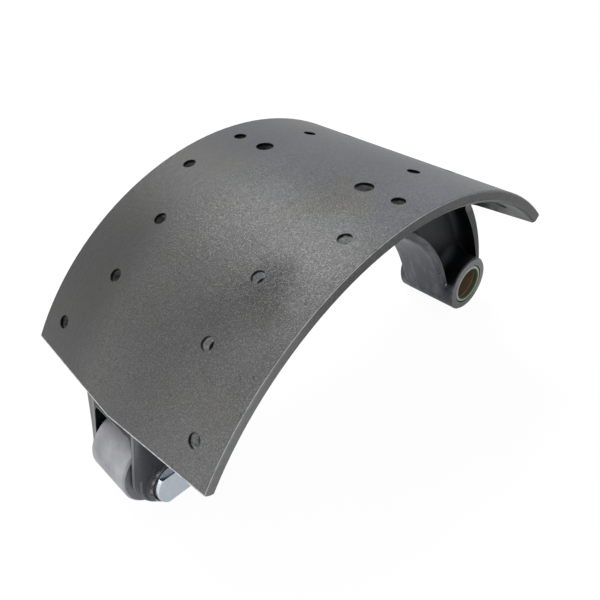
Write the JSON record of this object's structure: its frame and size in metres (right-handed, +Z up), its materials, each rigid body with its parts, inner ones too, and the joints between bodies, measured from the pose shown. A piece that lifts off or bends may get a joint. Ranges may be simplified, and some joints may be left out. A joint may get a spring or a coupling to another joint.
{
  "type": "brake shoe",
  "caption": "Curved cast drum brake shoe without linings, with rivet holes in its face, a cam roller in a fork at one end and a bushed anchor boss at the other.",
  "frame": {"origin": "centre of the anchor bore, midway along it", "axes": "+Y along the anchor bore, +X level from the cam roller towards the anchor boss, +Z up, with the shoe standing on its roller and its boss as pictured"},
  "size_m": [0.3607, 0.176, 0.1714],
  "materials": {
    "casting": "blasted, then primed grey",
    "bush": "turned",
    "seal": "moulded",
    "roller": "ground",
    "pin": "zinc plated"
  },
  "bodies": {
    "shoe": {"shoe_casting": "casting", "anchor_bush": "bush", "seal_near": "seal", "seal_far": "seal", "roller_pin": "pin"},
    "roller": {"cam_roller": "roller"}
  },
  "joints": [
    {"name": "roller_spin", "type": "hinge", "parent": "shoe", "child": "roller", "pos_m": [-0.3116, 0, 0.0009], "axis": [0, 1, 0], "continuous": true}
  ]
}
